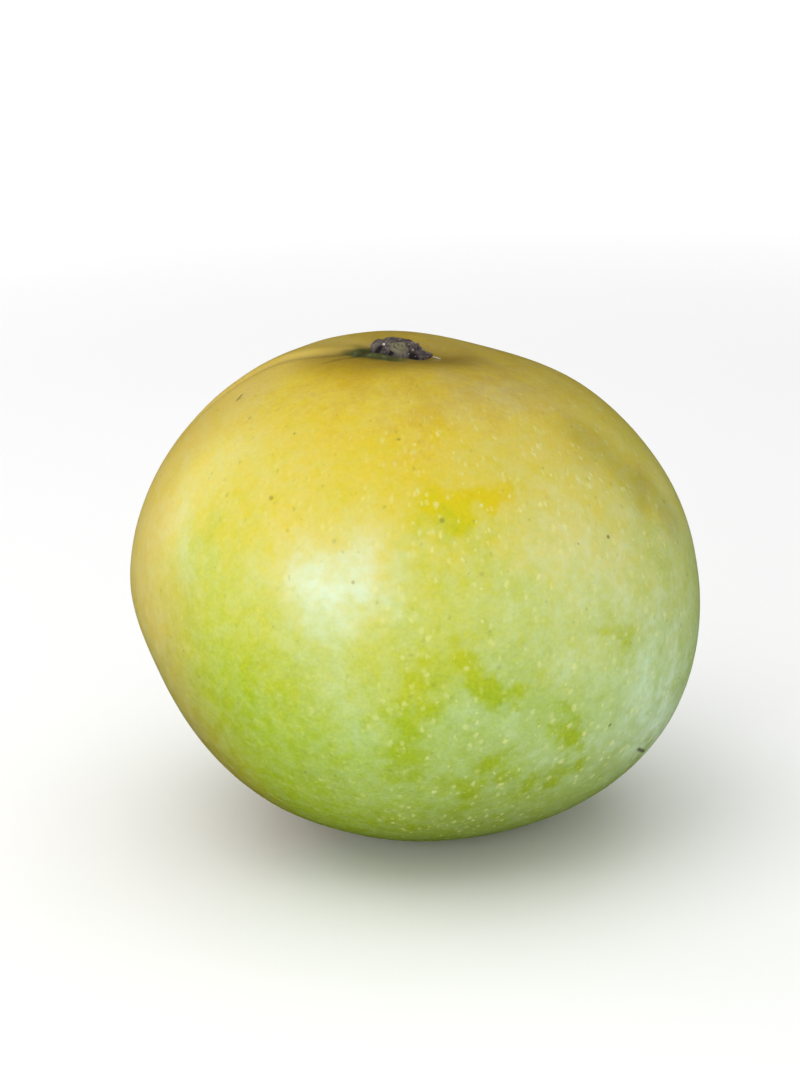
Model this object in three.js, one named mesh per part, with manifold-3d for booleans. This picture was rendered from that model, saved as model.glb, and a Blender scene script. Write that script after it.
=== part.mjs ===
// A whole round mango standing stem up: the fruit, with its stem hollow, furrow and resting spot,
// and the dry stem stub that is seated in the hollow.
// Units are millimetres, +Z up. The origin is on the surface that the fruit rests on, below the middle
// of its outline. The furrow runs down the ventral side, -X, and the two cheeks face -Y and +Y.

import * as THREE from "three";
import { mergeVertices } from "three/addons/utils/BufferGeometryUtils.js";
import Module from "manifold-3d";

// The body of the fruit: half an ellipsoid above its widest level and a slightly fuller one below.
const WIDTH = 100; // ventral to dorsal side, along X
const THICKNESS = 90; // cheek to cheek, along Y
const CROWN_RISE = 44.5; // from the widest level up to the crown
const BASE_DROP = 45.8; // from the widest level down to the base, before it is flattened
const CROWN_FULLNESS = 2.0; // power of the superellipse, where 2 is an ellipse and more is fuller
const BASE_FULLNESS = 2.02;
const LEAN = -0.02; // drift along X for each millimetre of height, which makes the fruit oblique
const REST_FLAT = 1.0; // how much of the base is pressed flat where the fruit rests

// Broad swellings, as bells around a direction from the middle of the body. A negative rise is a dent.
const SWELLINGS = [
  { towards: [-0.88, 0, -0.47], spread: 0.38, rise: -3.1 }, // flattened ventral flank, the sinus
  { towards: [-1, 0, -0.05], spread: 0.2, rise: 0.9 }, // ventral bulge above the sinus
  { towards: [0.82, 0, -0.57], spread: 0.5, rise: 2.8 }, // full dorsal belly
  { towards: [0.24, 0, 0.97], spread: 0.34, rise: -2.0 }, // sloping dorsal shoulder
  { towards: [-0.28, 0.32, 0.9], spread: 0.28, rise: 0.8 }, // raised shoulder beside the furrow
];

// The hollow that the stem sits in, and the furrow that leaves it down the ventral shoulder.
const STEM_X = -2.4;
const HOLLOW_DEPTH = 2.2;
const HOLLOW_RADIUS = 9.5;
const FURROW_DEPTH = 1.5;
const FURROW_HALF_WIDTH = 1.7;
const FURROW_LIP = 0.6; // rise of the two rounded lips along the furrow
const FURROW_LIP_REACH = 4; // lip width as a multiple of the furrow's
const FURROW_START = 4; // distance from the stem's axis where the furrow is already whole
const FURROW_FADE = [24, 44]; // distances from the stem's axis between which it fades out

// The stem stub: a broken, corky end that stands in a plain round socket.
const STUB_RADIUS = 5.6;
const STUB_RISE = 2.9; // top of the stub above the floor of the hollow
const STUB_RIM_RISE = 0.9; // ragged edge above the floor of the hollow
const STUB_FLATNESS = 4; // power of the dome's profile, where 2 is round and more is a flatter top
const STUB_ROOT = 1.4; // depth of the socketed root below the floor of the hollow
const BREAK_DROP = 1.6; // how much lower the dorsal side has broken off
const BREAK_SPAN = [0.1, 0.9]; // where the break falls away, as shares of the radius
const KNOB_RADIUS = 1.3; // round scar of the sap vessels in the middle
const KNOB_RISE = 0.3;
const CRUMB_RISE = 0.35; // lumps of the broken cork
const CRUMB_LOBES = 5; // lumps in one turn
const CRUMB_TWIST = 7; // radians that the lumps turn from the middle to the edge
const SOCKET_GAP = 0.3;

// Fineness of the faceted surfaces.
const FRUIT_COLUMNS = 80;
const FRUIT_RINGS = 44;
const COLUMN_CROWDING = 0.5; // how far the columns gather at the furrow
const STUB_COLUMNS = 36;
const STUB_RINGS = 9;

const SKIN = { colour: 0xd3cf5a, roughness: 0.4 };
const CORK = { colour: 0x5c564b, roughness: 0.95 };

const BODY_HEIGHT = BASE_DROP - REST_FLAT; // of the widest level above the resting surface
const TOOL_MARGIN = 20; // how far the cutting tools reach past what they cut
const AXIS_TILT = 0.2; // slope to each side of straight up within which the stem's axis is looked for
const AXIS_HALVINGS = 40;

const wasm = await Module();
wasm.setup();

/** 0 below low, 1 above high, and a smooth ramp between them. */
function ramp(value, low, high) {
  return THREE.MathUtils.smoothstep(value, low, high);
}

/** A bell that is 1 at 0 and fades out over about twice its width. */
function bell(value, width) {
  return Math.exp(-((value / width) ** 2));
}

/** The plain body at a unit direction from its middle: a superellipsoid that leans. */
function bodyPoint(direction) {
  const around = Math.hypot(direction.x, direction.y);
  const upward = direction.z >= 0;
  const fullness = upward ? CROWN_FULLNESS : BASE_FULLNESS;
  const reach = (around ** fullness + Math.abs(direction.z) ** fullness) ** (-1 / fullness);
  const point = new THREE.Vector3(
    (WIDTH / 2) * direction.x * reach,
    (THICKNESS / 2) * direction.y * reach,
    (upward ? CROWN_RISE : BASE_DROP) * direction.z * reach,
  );
  point.x += LEAN * point.z;
  return point;
}

/** How far all the swellings together push the surface out at a unit direction. */
function swellingRise(direction) {
  let rise = 0;
  for (const swelling of SWELLINGS) {
    const towards = new THREE.Vector3(...swelling.towards).normalize();
    rise += swelling.rise * bell(direction.angleTo(towards), swelling.spread);
  }
  return rise;
}

/** 0 on the lower half of the fruit and 1 on its crown, where the hollow and the furrow are. */
function crownShare(point) {
  return ramp(point.z, 0, CROWN_RISE / 2);
}

/** How deep the furrow is at a point: a narrow valley between two lips, along the ventral shoulder. */
function furrowDepth(point) {
  const along = STEM_X - point.x;
  const share = crownShare(point) * ramp(along, 0, FURROW_START) * (1 - ramp(along, ...FURROW_FADE));
  const valley = FURROW_DEPTH * bell(point.y, FURROW_HALF_WIDTH);
  const lips = FURROW_LIP * bell(point.y, FURROW_HALF_WIDTH * FURROW_LIP_REACH);
  return share * (valley - lips);
}

/** How deep the stem hollow is at a point: a round bell about the stem's axis. */
function hollowDepth(point) {
  return crownShare(point) * HOLLOW_DEPTH * bell(Math.hypot(point.x - STEM_X, point.y), HOLLOW_RADIUS);
}

/** The fruit's surface at a unit direction, with the widest level at z = 0. */
function skinPoint(direction) {
  const point = bodyPoint(direction);
  const outward = new THREE.Vector3(
    point.x / (WIDTH / 2),
    point.y / (THICKNESS / 2),
    point.z / CROWN_RISE,
  ).normalize();
  point.addScaledVector(outward, swellingRise(outward) - furrowDepth(point));
  point.z -= hollowDepth(point);
  return point;
}

/** Turns a closed geometry into a solid that can be cut. */
function solidOf(geometry) {
  const bare = geometry.clone();
  bare.deleteAttribute("normal");
  bare.deleteAttribute("uv");
  const merged = mergeVertices(bare);
  return new wasm.Manifold(
    new wasm.Mesh({
      numProp: 3,
      vertProperties: new Float32Array(merged.attributes.position.array),
      triVerts: new Uint32Array(merged.index.array),
    }),
  );
}

/** Turns a cut solid back into a geometry with flat normals. */
function geometryOf(solid) {
  const mesh = solid.getMesh();
  const indexed = new THREE.BufferGeometry();
  indexed.setAttribute("position", new THREE.BufferAttribute(mesh.vertProperties, 3));
  indexed.setIndex(new THREE.BufferAttribute(mesh.triVerts, 1));
  const geometry = indexed.toNonIndexed();
  geometry.computeVertexNormals();
  return geometry;
}

/** Moves every vertex of a geometry to where place puts it. */
function reshape(geometry, place) {
  const positions = geometry.attributes.position;
  const vertex = new THREE.Vector3();
  for (let i = 0; i < positions.count; i += 1) {
    vertex.fromBufferAttribute(positions, i);
    const moved = place(vertex);
    positions.setXYZ(i, moved.x, moved.y, moved.z);
  }
  return geometry;
}

/** A unit sphere with its poles on Z and its columns gathered around the furrow at -X. */
function furrowedSphere() {
  const sphere = new THREE.SphereGeometry(1, FRUIT_COLUMNS, FRUIT_RINGS).rotateX(Math.PI / 2);
  return reshape(sphere, (vertex) => {
    const around = Math.hypot(vertex.x, vertex.y);
    const azimuth = Math.atan2(vertex.y, vertex.x);
    const gathered = azimuth + COLUMN_CROWDING * Math.sin(azimuth);
    return new THREE.Vector3(around * Math.cos(gathered), around * Math.sin(gathered), vertex.z);
  });
}

/** Height of the hollow's floor above the widest level, where the surface meets the stem's axis. */
function hollowFloor() {
  let low = -AXIS_TILT;
  let high = AXIS_TILT;
  let floor = 0;
  for (let step = 0; step < AXIS_HALVINGS; step += 1) {
    const tilt = (low + high) / 2;
    const point = skinPoint(new THREE.Vector3(tilt, 0, 1).normalize());
    floor = point.z;
    if (point.x < STEM_X) {
      low = tilt;
    } else {
      high = tilt;
    }
  }
  return floor;
}

/** The fruit: the reshaped sphere with the stub's socket and the resting spot cut out of it. */
function fruitGeometry(floor) {
  const body = solidOf(reshape(furrowedSphere(), skinPoint));
  const socketRadius = STUB_RADIUS + SOCKET_GAP;
  const socketDepth = STUB_ROOT + SOCKET_GAP;
  const toolLength = socketDepth + TOOL_MARGIN;
  const socketTool = new THREE.CylinderGeometry(socketRadius, socketRadius, toolLength, STUB_COLUMNS);
  socketTool.rotateX(Math.PI / 2);
  socketTool.translate(STEM_X, 0, floor - socketDepth + toolLength / 2);
  const restTool = new THREE.BoxGeometry(WIDTH, THICKNESS, TOOL_MARGIN);
  restTool.translate(0, 0, -BODY_HEIGHT - TOOL_MARGIN / 2);
  return geometryOf(body.subtract(solidOf(socketTool)).subtract(solidOf(restTool)));
}

/** Height of the stub's broken top at a point, above the floor of the hollow. */
function stubTop(x, y) {
  const out = Math.min(1, Math.hypot(x, y) / STUB_RADIUS);
  const azimuth = Math.atan2(y, x);
  const plateau = 1 - out ** STUB_FLATNESS;
  const dome = STUB_RIM_RISE + (STUB_RISE - STUB_RIM_RISE) * plateau;
  const crumbs = CRUMB_RISE * Math.sin(Math.PI * out) * Math.sin(CRUMB_LOBES * azimuth + CRUMB_TWIST * out);
  const broken = BREAK_DROP * plateau * ramp(x / STUB_RADIUS, ...BREAK_SPAN);
  const knob = KNOB_RISE * bell(out * STUB_RADIUS, KNOB_RADIUS);
  return dome + crumbs + knob - broken;
}

/** The stub: a short round root with a crumbly top, its axis at x = 0 and the hollow's floor at z = 0. */
function stubGeometry() {
  const profile = [new THREE.Vector2(0, -STUB_ROOT), new THREE.Vector2(STUB_RADIUS, -STUB_ROOT)];
  for (let ring = 0; ring <= STUB_RINGS; ring += 1) {
    const out = 1 - ring / STUB_RINGS;
    profile.push(new THREE.Vector2(STUB_RADIUS * out, 0));
  }
  const lathe = new THREE.LatheGeometry(profile, STUB_COLUMNS).rotateX(Math.PI / 2);
  return reshape(lathe, (vertex) => {
    const height = vertex.z < 0 ? vertex.z : stubTop(vertex.x, vertex.y);
    return new THREE.Vector3(vertex.x, vertex.y, height);
  });
}

/** A named mesh with its own finish. */
function piece(name, geometry, finish) {
  const material = new THREE.MeshStandardMaterial({
    color: finish.colour,
    roughness: finish.roughness,
    metalness: 0,
  });
  const mesh = new THREE.Mesh(geometry, material);
  mesh.name = name;
  return mesh;
}

const floor = hollowFloor();
const fruit = piece("fruit", fruitGeometry(floor), SKIN);
const stub = piece("stem_stub", stubGeometry(), CORK);
stub.position.set(STEM_X, 0, floor);

const mango = new THREE.Group();
fruit.geometry.computeBoundingBox();
const middle = fruit.geometry.boundingBox.getCenter(new THREE.Vector3());
mango.position.set(-middle.x, -middle.y, BODY_HEIGHT);
mango.add(fruit, stub);

export default mango;
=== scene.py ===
"""The looks of a whole round mango that stands stem up: its fine skin, its furrow and its corky stem stub.

Shapes are worked out in millimetres around the middle of the fruit's widest level, then placed by the frame
and turned into metres. +X is the dorsal side, the furrow runs down -X, and the cheek at -Y faces the
camera. Places on the skin are pairs of an azimuth in degrees, 0 at that cheek and 90 at +X, and a height in
millimetres above the ground.
"""

import math

import bpy
import numpy as np
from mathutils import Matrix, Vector


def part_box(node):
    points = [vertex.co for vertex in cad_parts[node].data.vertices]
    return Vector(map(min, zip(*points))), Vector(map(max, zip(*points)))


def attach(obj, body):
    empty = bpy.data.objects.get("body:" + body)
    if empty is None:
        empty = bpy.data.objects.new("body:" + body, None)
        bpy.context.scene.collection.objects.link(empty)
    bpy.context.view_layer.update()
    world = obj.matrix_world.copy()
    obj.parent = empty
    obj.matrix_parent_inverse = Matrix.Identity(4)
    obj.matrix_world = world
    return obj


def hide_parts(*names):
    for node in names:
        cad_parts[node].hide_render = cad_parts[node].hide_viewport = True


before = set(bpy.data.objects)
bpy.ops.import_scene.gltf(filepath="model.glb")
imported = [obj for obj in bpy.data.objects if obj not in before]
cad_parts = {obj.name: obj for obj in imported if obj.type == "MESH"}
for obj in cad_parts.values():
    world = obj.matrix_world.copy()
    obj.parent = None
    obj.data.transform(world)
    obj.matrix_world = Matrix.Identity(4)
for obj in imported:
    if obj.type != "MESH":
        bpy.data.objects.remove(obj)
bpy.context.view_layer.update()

MM = 0.001

# The body of the fruit, the same named values that its solid is made from.
WIDTH = 100.0
THICKNESS = 90.0
CROWN_RISE = 44.5
BASE_DROP = 45.8
CROWN_FULLNESS = 2.0
BASE_FULLNESS = 2.02
LEAN = -0.02
REST_FLAT = 1.0
SWELLINGS = [
    ((-0.88, 0.0, -0.47), 0.38, -3.1),  # flattened ventral flank, the sinus
    ((-1.0, 0.0, -0.05), 0.2, 0.9),  # ventral bulge above the sinus
    ((0.82, 0.0, -0.57), 0.5, 2.8),  # full dorsal belly
    ((0.24, 0.0, 0.97), 0.34, -2.0),  # sloping dorsal shoulder
    ((-0.28, 0.32, 0.9), 0.28, 0.8),  # raised shoulder beside the furrow
]
STEM_X = -2.4
HOLLOW_DEPTH = 2.2
HOLLOW_RADIUS = 9.5
STEM_OVAL = 0.74  # depth of the stem, front to back, as a share of its width
BODY_HEIGHT = BASE_DROP - REST_FLAT

# The furrow: a broad valley between two lips, with a narrow crease along its bottom. Near the stem it bows
# towards the front cheek.
FURROW_DEPTH = 0.9
FURROW_HALF_WIDTH = 1.7
FURROW_LIP = 0.6
FURROW_LIP_REACH = 4.0
FURROW_START = 4.0
FURROW_FADE = (24.0, 44.0)
CREASE_DEPTH = 0.7
CREASE_HALF_WIDTH = 0.45
BOW_FRONT = 3.2
BOW_MIDDLE = 9.0
BOW_REACH = 8.0
BOW_BACK = 1.0
BOW_BACK_SPAN = (14.0, 24.0)

# A second, short wrinkle beside the furrow.
WRINKLE_DEPTH = 0.35
WRINKLE_HALF_WIDTH = 0.45
WRINKLE_OFFSET = -5.0
WRINKLE_SLANT = -0.2
WRINKLE_SPAN = (4.0, 6.0, 10.0, 14.0)

# The skin's lip round the stem, and the slow unevenness of the whole skin.
COLLAR_RADIUS = 6.4
COLLAR_SHELF = 1.3  # how much further out the lip stands where it is highest
COLLAR_WIDTH = 0.9
COLLAR_RISE = 0.45
COLLAR_GROOVE = 0.4
COLLAR_GROOVE_OUT = 2.0  # how far the groove lies outside the lip
COLLAR_FRONT = math.radians(-120)  # where round the stem the lip is highest
COLLAR_SPREAD = (0.45, 0.95)  # from which cosine of the angle to that the lip rises, and where it is full
UNEVEN = ((14.0, 0.22), (5.0, 0.05))  # size and rise of each layer of unevenness

# The stem stub: a craggy mound, steep beside the furrow and sloping on the dorsal side. A pale patch on its
# front holds the round scar of the stem's vessels.
STUB_RADIUS = 5.4
STUB_EDGE = 0.95  # mean reach of the rim, as a share of the radius
STUB_EDGE_WAVES = ((3, 1.0, 0.05), (7, 0.0, 0.03))  # count round the rim, phase and height of each wave
STUB_RISE = 2.35
STUB_RIM_RISE = (0.6, 0.15)  # on its steep side and on its gentle side
STUB_ROOT = 1.4
STUB_STEEP = (0.78, 1.0)  # where the mound falls on its steep side, as shares of its radius
STUB_GENTLE = (0.2, 1.0)  # where it falls on its gentle side
STUB_OPEN = math.radians(-30)  # the direction of the gentle side
STUB_OPEN_SPAN = (-0.3, 0.6)  # where along that direction the gentle side begins and is full
CRAGS = ((1.8, 0.52), (0.9, 0.4), (0.35, 0.22))  # size and height of each layer of crags
CRAG_FADE = 0.55  # how far the crags flatten towards the foot of the gentle side
CRAG_UPRIGHT = 0.6  # how steeply the crags stand up at the rim
CRAG_START = 0.05  # how far from the middle of the top the crags are full
PITS = [((-3.5, -3.0), 0.55), ((-1.4, -4.1), 0.5), ((2.3, -3.4), 0.6)]  # place and radius
PIT_DEPTH = 0.6
PATCH_PLACE = (-0.3, -2.3)
PATCH_RADIUS = 1.9
PATCH_EDGE = (0.5, 1.0)  # where it fades, as shares of its radius
PATCH_FRAY = 0.3
PATCH_FRAY_SIZE = 0.9
PATCH_SMOOTH = 0.6  # how far the crags flatten on it
PATCH_TONE = 0.25
PATCH_TONE_SHARE = 0.5
SCAR_PLACE = (0.1, -2.2)
SCAR_RADIUS = 0.7
SCAR_RISE = 0.22
SCAR_RINGS = ((1.0, 0.25, 1.0), (0.0, 0.3, 0.7))  # distance and width in radii of the scar, and height
SCAR_GROOVES = ((0.55, 0.2, 1.0), (1.5, 0.2, 1.0))
SCAR_GROOVE_DEPTH = 0.7

# Loose chips on the stub: a torn fibre at its dorsal foot, one white fleck, and small flakes.
FIBRE = ((5.5, -0.4, 0.15), (7.1, -2.8, 0.35))
FIBRE_RADIUS = 0.14
FIBRE_PALE = 0.7
FLECK_PLACE = (-2.8, -1.6)
FLECK_SIZE = 0.42
FLECK_PALE = 0.95
FLAKES = 24
FLAKE_SIZES = (0.12, 0.3)
FLAKE_PALES = (0.0, 0.45)
FLAKE_ROUGHNESS = 0.25
FLAKE_ROUGHNESS_SIZE = 0.6
FLAKE_FLATNESS = 0.5
CHIP_RAISED = 0.4

SKIN_ROWS = 216
SKIN_COLUMNS = 448
ROW_CROWDING = 0.6  # how far the rows gather at the crown
COLUMN_CROWDING = 0.5  # how far the columns gather at the furrow
STUB_ROWS = 120
STUB_TOP_ROWS = 90
STUB_COLUMNS = 240
FLECK_ROWS = 60  # rows of the stub's top that the white fleck may lie on
FLAKE_BAND = (30, 90)  # rows of the stub that flakes lie on
CHIP_ROWS = 10
CHIP_COLUMNS = 14
NOISE_CELLS = 64

# Seeds of the noises and of the random draws.
GREEN_SEED = 13
FLUSH_SEED = 14
CRAG_SEED = 21  # of the first layer, and the next ones follow
PATCH_SEED = 25
FLECK_SEED = 24
CHIP_SEED = 7
RUB_SEED = 41

# Strokes are lines between two places, with a radius and an amount. Their outlines are frayed by noise of
# these sizes, reaches and seeds.
STROKE_FRAYS = ((7.0, 1.4, (31, 32, 33)), (2.6, 1.5, (34, 35, 36)))

# The skin ripens from the crown down. Each side is as ripe as a place this much higher on the front cheek.
RIPE_SIDES = (-180, -120, -80, -52, -30, -8, 18, 40, 60, 85, 130)
RIPE_LIFT = (2, 4, 4, 0, 5, 6, -2, 3, 0, 2, 2)
RIPE_LIFT_FADE = (60, 80)
RIPE_NOISE = ((17, 0.035, 11), (7, 0.03, 12))  # size, amount and seed
RIPE_STROKES = [
    ((14, 72), (22, 73), 3.0, 0.04),
    ((6, 70), (11, 68), 4.0, -0.07),
]

# The flush on the furrow's side begins at this azimuth at each height.
FLUSH_HEIGHTS = (15, 30, 40, 55, 70, 80)
FLUSH_EDGE = (-40, -42, -46, -54, -65, -64)
FLUSH_FRAY = 5.0
FLUSH_FRAY_SIZE = 9.0
FLUSH_SOFTNESS = (-9, 20)
FLUSH_END = (105, 140)  # degrees behind the front cheek where it fades out

# Waxy bloom, as the share of the colour that it veils: by side, by height, and in single strokes. A few
# strokes are painted highlight and sheen rather than bloom.
BLOOM_SIDES = (-180, -130, -95, -62, -45, -28, -15, 3, 15, 35, 50, 65, 80, 110, 150)
# more veil towards the dorsal side: partly real bloom, partly painted reflection of soft light from the
# right
BLOOM_AND_REFLECTION_BY_SIDE = (0.28, 0.2, 0.12, 0.07, 0.02, 0.04, 0.1, 0.13, 0.17, 0.24, 0.26, 0.3, 0.27, 0.3, 0.3)
BLOOM_HEIGHTS = (0, 14, 26, 50, 60, 72, 80, 87)
BLOOM_BY_HEIGHT = (0.15, 0.4, 1.0, 1.0, 0.8, 0.5, 0.4, 0.35)
BLOOM_AND_SHEEN_STROKES = [
    # painted highlight: a pale patch where the key light's highlight falls on the front cheek, and a weaker
    # one below it
    ((-22, 60), (-14, 60), 7.6, 0.46),
    ((-22, 54), (-14, 53), 5.0, 0.08),
    ((-20, 49), (-10, 36), 4.0, 0.1),
    ((26, 64), (46, 60), 8.0, 0.12),
    ((14, 37), (24, 34), 5.0, 0.04),
    ((55, 36), (70, 22), 9.0, 0.2),
    # painted sheen: a pale streak of light along the left side
    ((-73, 73), (-52, 57), 2.2, 0.12),
    ((-52, 70), (-44, 56), 11.0, 0.08),
    ((28, 76), (50, 73), 6.0, 0.06),
    ((-62, 80), (-36, 75), 8.0, 0.07),
    # partly bloom, partly painted sheen of the light from above on the dorsal crown
    ((18, 83.5), (48, 82.5), 5.0, 0.08),
    ((-40, 83), (-14, 83), 5.0, 0.05),
    ((10, 84.5), (9, 80.5), 2.5, -0.06),
]

# Places where the bloom has been rubbed off: on the front, and scattered on the sides that face away.
RUBBED_STROKES = [
    ((9, 51), (12, 46), 2.4, 0.5),
    ((14, 44), (19, 41), 2.4, 0.75),
    ((10, 46), (25, 41), 4.0, 0.4),
    ((2, 46), (1, 40), 2.6, 0.95),
    ((-2, 37), (-2, 28), 3.6, 0.9),
    ((33, 34), (37, 31), 3.2, 0.9),
    ((18, 28), (22, 25), 3.3, 0.85),
    ((12, 24), (14, 19), 3.4, 0.8),
    ((43, 51), (46, 47), 2.8, 0.5),
    ((28, 20), (40, 24), 3.4, 0.7),
    ((7, 71), (13, 69.5), 3.4, 1.2),
    ((14, 72), (22, 73), 2.6, 1.0),
    ((58, 77), (62, 68), 5.0, 0.3),
]
HIDDEN_RUBS = 22
HIDDEN_AZIMUTHS = (95, 265)
HIDDEN_HEIGHTS = (16, 66)
HIDDEN_TURN = 5
HIDDEN_CLIMB = 6
HIDDEN_RADII = (2.5, 5)
HIDDEN_AMOUNTS = (0.35, 0.75)

# Painted shade along the furrow and the wrinkle, and darker olive strokes on the dorsal shoulder.
CREASE_SHADE = 1.6  # width of the dark line, in widths of the crease
CREASE_SHADE_REACH = 1.8  # how much later the dark line fades than the furrow
WRINKLE_SHADE = 0.7
OLIVE_STROKES = [
    ((58, 77), (63, 68), 4.5, 0.3),
    ((70, 68), (72, 60), 3.5, 0.25),
]

# Green on the lip round the stem, furthest out in front, and painted shade in dark green along the front of
# the furrow near the stem.
GREEN_FRONT = math.radians(-130)  # where the skin round the stem is greenest
GREEN_SPREAD = (0.0, 0.7)  # from which cosine of the angle to that it is greener, and where it is greenest
GREEN_LEAST = 0.15
GREEN_REACH = 1.0
GREEN_REACH_FRONT = 3.8
GREEN_FRAY_SIZE = 1.6
GREEN_SOFTNESS = (-2.8, 2.0)
FRONT_SPREAD = (0.6, 1.0)
BESIDE_SHADE_SHARE = 0.8
BESIDE_OFFSET = 1.2
BESIDE_WIDTH = 2.0
BESIDE_SPAN = (3, 6, 6, 14)

# Brown round the lip, partly a stain and partly painted shade of the hollow round the stem: further out in
# front, weaker behind the stem and at the back of the furrow.
BROWN_FADE = (3.0, 13.0)
BROWN_REACH_FRONT = 3.0
BROWN_BEHIND = (-3, 5)
BROWN_BEHIND_LOSS = 0.5
BROWN_FURROW = math.radians(160)
BROWN_FURROW_SPREAD = (0.7, 1.0)
BROWN_FURROW_LOSS = 0.7

# Pale dots, as the share of their full strength on each side and at each height.
DOT_SIDES = (-180, -100, -40, -12, 10, 80, 120)
DOTS_BY_SIDE = (0.7, 0.4, 0.3, 0.7, 1.15, 1.2, 0.8)
DOT_HEIGHTS = (0, 30, 55, 70, 80, 86)
DOTS_BY_HEIGHT = (1.1, 1.0, 0.8, 1.5, 1.0, 0.1)

# Dark marks: two places that a mark runs between, its radius and its strength. The last is the stylar scar.
MARKS = [
    ((62, 21.9), (68, 19.3), 0.55, 0.75),
    ((-76, 80.2), (-77, 81.1), 0.35, 0.6),
    ((-71, 86.6), (-71, 86.6), 0.4, 0.5),
    ((-37, 70.1), (-37, 70.1), 0.6, 0.4),
    ((7, 68.9), (7, 68.9), 0.65, 0.4),
    ((48, 63.2), (48, 63.2), 0.5, 0.6),
    ((46, 31.2), (46, 31.2), 0.5, 0.6),
    ((-5, 79.3), (-5, 79.3), 0.4, 0.4),
    ((-92, 13), (-92, 13), 0.9, 0.7),
]
MARK_CORE = 0.3  # share of a mark's radius that has its full strength

# The stage, in metres and watts. Each panel of light has a direction from the fruit, a distance, a size, a
# power, and whether the skin's gloss shows it.
GROUND_REACH = 12.0
GROUND_TONE = (0.85, 0.85, 0.85, 1)
GROUND_ROUGHNESS = 0.9
GROUND_GLOW = 0.75
GROUND_GLOW_SPAN = (300.0, 1200.0)  # millimetres from the fruit where the glow begins and is full
WORLD_STRENGTH = 0.5
PANELS = {
    "key": ((-0.41, -0.865, 0.275), 1.2, (0.55, 0.55), 2.0, True),
    "core": ((-0.405, -0.87, 0.28), 1.15, (0.1, 0.18), 0.4, True),
    "front": ((0.42, -0.9, 0.08), 1.2, (0.8, 0.3), 2.9, False),
    "left": ((-0.85, -0.5, 0.25), 1.2, (0.8, 0.6), 2.1, False),
    "sky": ((-0.45, -0.3, 0.85), 1.2, (0.9, 0.9), 3.55, False),
    "left_back": ((-0.9, 0.4, 0.35), 1.2, (0.5, 0.9), 2.2, True),
    "right_back": ((0.95, 0.2, 0.25), 1.2, (0.5, 0.9), 0.6, False),
}
GROUND_PANEL = ((0.0, 0.0, 1.0), 1.5, (2.0, 2.0), 14, True)
TARGET = Vector((0, 0, BODY_HEIGHT * MM))

# The camera, as fitted to the outline of the fruit.
CAMERA_DISTANCE = 0.4
CAMERA_ELEVATION = math.radians(20)
CAMERA_LENS = 75.87
CAMERA_SENSOR = 36.0
AIM_ASIDE = -0.0028
AIM_ABOVE = 0.0087


def ramp(value, low, high):
    """0 below low, 1 above high, and a smoothstep between them."""
    share = np.clip((value - low) / (high - low), 0, 1)
    return share * share * (3 - 2 * share)


def span(value, start, full, fade, end):
    """0 before start, 1 from full to fade, and 0 after end."""
    return ramp(value, start, full) * (1 - ramp(value, fade, end))


def bell(value, width):
    """1 at 0, fading out over about twice the width."""
    return np.exp(-((value / width) ** 2))


def noise(points, cell, seed):
    """A smooth random field from -1 to 1: seeded numbers at the corners of cubic cells, blended with
    smoothsteps along the three axes."""
    lattice = np.random.default_rng(seed).uniform(-1, 1, (NOISE_CELLS,) * 3)
    scaled = np.asarray(points) / cell
    corner = np.floor(scaled).astype(int)
    share = scaled - corner
    share = share * share * (3 - 2 * share)
    total = np.zeros(scaled.shape[:-1])
    for step in np.ndindex(2, 2, 2):
        index = (corner + step) % NOISE_CELLS
        weight = np.where(np.array(step, bool), share, 1 - share).prod(axis=-1)
        total += weight * lattice[index[..., 0], index[..., 1], index[..., 2]]
    return total


def unit(vectors):
    """Vectors scaled to length 1."""
    return vectors / np.linalg.norm(vectors, axis=-1, keepdims=True)


def directions():
    """Unit directions on a grid of rows from the crown to the base and columns around, gathered at the
    crown and at the furrow."""
    down = np.linspace(0, 1, SKIN_ROWS + 1)
    polar = math.pi * ((1 - ROW_CROWDING) * down + ROW_CROWDING * down**2)
    turn = np.linspace(-math.pi, math.pi, SKIN_COLUMNS, endpoint=False)
    azimuth = turn + COLUMN_CROWDING * np.sin(turn)
    polar, azimuth = np.meshgrid(polar, azimuth, indexing="ij")
    around = np.sin(polar)
    return np.stack([around * np.cos(azimuth), around * np.sin(azimuth), np.cos(polar)], axis=-1)


def body(direction):
    """A leaning superellipsoid: each direction is stretched to where around^n + up^n = 1, then along X, Y
    and Z, with its own n and Z above and below the widest level."""
    around = np.hypot(direction[..., 0], direction[..., 1])
    up = direction[..., 2]
    fullness = np.where(up >= 0, CROWN_FULLNESS, BASE_FULLNESS)
    reach = (around**fullness + np.abs(up) ** fullness) ** (-1 / fullness)
    height = np.where(up >= 0, CROWN_RISE, BASE_DROP)
    scale = np.stack([np.full_like(up, WIDTH / 2), np.full_like(up, THICKNESS / 2), height], axis=-1)
    points = direction * reach[..., None] * scale
    points[..., 0] += LEAN * points[..., 2]
    return points


def swelling_rise(outward):
    """The sum of bells of the angle to each swelling's direction."""
    rise = np.zeros(outward.shape[:-1])
    for towards, spread, height in SWELLINGS:
        angle = np.arccos(np.clip(outward @ unit(np.array(towards)), -1, 1))
        rise += height * bell(angle, spread)
    return rise


def crown_share(points):
    """0 on the lower half of the fruit and 1 on its crown."""
    return ramp(points[..., 2], 0, CROWN_RISE / 2)


def along_furrow(points):
    """Distance from the stem's axis towards the furrow's side."""
    return STEM_X - points[..., 0]


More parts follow.
